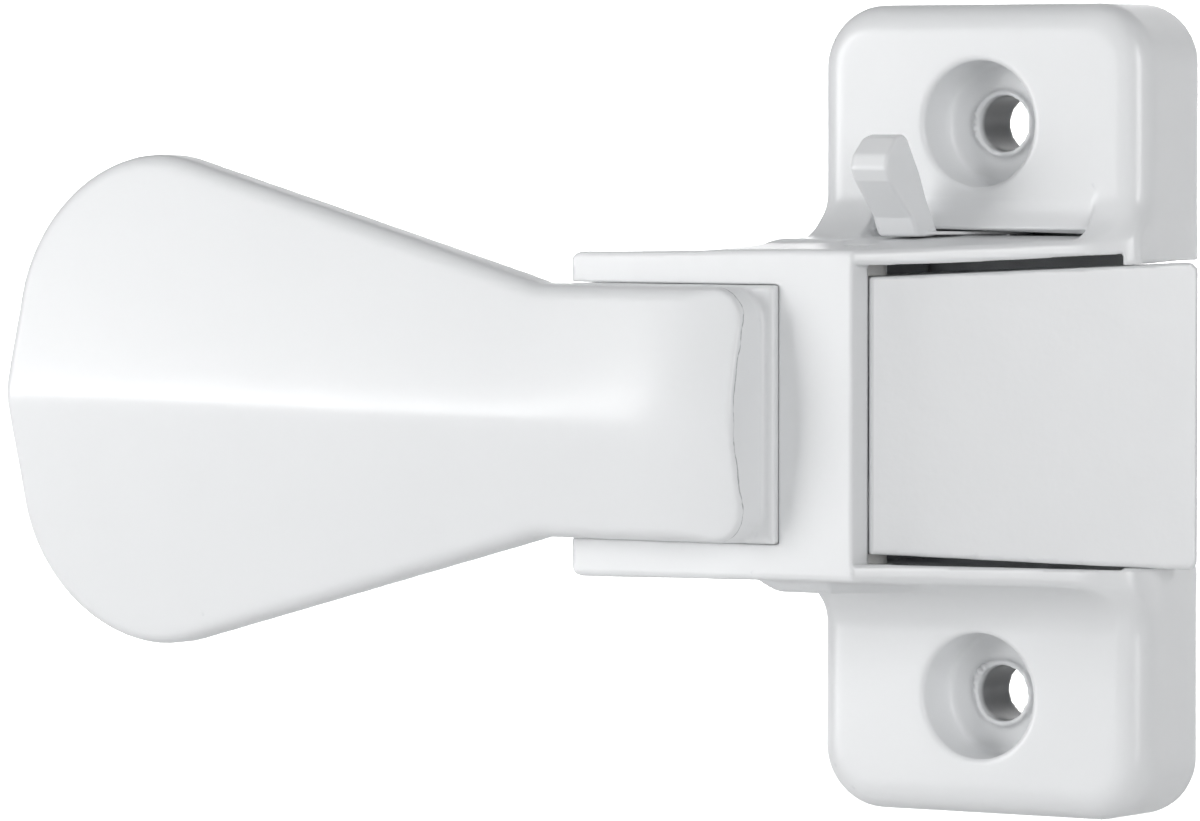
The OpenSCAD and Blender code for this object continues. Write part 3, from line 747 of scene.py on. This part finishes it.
def sweep():
    """A pale floor that curves up into a backdrop."""
    floor_z, back_y, rise = -0.075, 1.2, 1.6
    bend, reach = 0.6, 3.0
    foot = back_y - bend
    profile = [(-reach, 0.0), (foot, 0.0)]
    for t in np.linspace(0.1, math.pi / 2, 14):
        profile.append((foot + bend * math.sin(t), bend - bend * math.cos(t)))
    profile.append((back_y, rise + bend))
    verts, faces = [], []
    for x in (-reach, reach):
        verts += [(x, y, floor_z + z) for y, z in profile]
    n = len(profile)
    for i in range(n - 1):
        faces.append((i, n + i, n + i + 1, i + 1))
    mesh = bpy.data.meshes.new("backdrop")
    mesh.from_pydata(verts, [], faces)
    for p in mesh.polygons:
        p.use_smooth = True
    obj = bpy.data.objects.new("backdrop", mesh)
    bpy.context.scene.collection.objects.link(obj)
    m, tree, bsdf = new_material("backdrop_paper")
    bsdf.inputs["Base Color"].default_value = (0.93, 0.93, 0.93, 1)
    bsdf.inputs["Roughness"].default_value = 0.9
    obj.data.materials.append(m)


def panel(name, at, target, width, height, power, spread=180):
    """A soft area light, in metres and watts."""
    light = bpy.data.lights.new(name, "AREA")
    light.shape = "RECTANGLE"
    light.size = width
    light.size_y = height
    light.energy = power
    light.spread = math.radians(spread)
    obj = bpy.data.objects.new(name, light)
    obj.location = at
    obj.rotation_euler = (Vector(target) - Vector(at)).to_track_quat("-Z", "Y").to_euler()
    bpy.context.scene.collection.objects.link(obj)


sweep()
world = bpy.data.worlds.new("studio")
world.use_nodes = True
sky = world.node_tree.nodes["Background"]
sky.inputs["Color"].default_value = (0.96, 0.98, 1.0, 1)
sky.inputs["Strength"].default_value = 0.22
bpy.context.scene.world = world

middle = (-0.03, -0.015, 0.0)
panel("key", (-0.34, -0.34, 0.06), middle, 0.24, 0.24, 1.1)
panel("right_strip", (0.95, -0.62, 0.10), middle, 0.28, 0.9, 6.8)
panel("front", (0.12, -1.3, 0.15), middle, 0.9, 0.7, 0.45)
panel("top", (-0.1, -0.45, 1.0), middle, 0.8, 0.8, 1.0)
panel("paper_light", (-0.5, 0.65, 1.0), (-0.55, 0.85, 0.0), 1.4, 0.6, 11.0, spread=80)

camera = bpy.data.cameras.new("camera")
camera.sensor_width = 36
# the photo's focal length is about 7537 pixels over its width of 1200
camera.lens = camera.sensor_width * 7537 / 1200
camera.clip_start = 0.01
camera.clip_end = 20
eye = bpy.data.objects.new("camera", camera)
yaw, tip_down, distance = math.radians(33.0), math.radians(2.2), 0.6
level = math.cos(tip_down)
back = Vector((math.sin(yaw) * level, -math.cos(yaw) * level, math.sin(tip_down)))
aim = Vector((-0.032985, -0.012, -0.0006))
eye.location = aim + back * distance
eye.rotation_euler = (-back).to_track_quat("-Z", "Y").to_euler()
bpy.context.scene.collection.objects.link(eye)
bpy.context.scene.camera = eye
bpy.context.scene.view_settings.view_transform = "Standard"
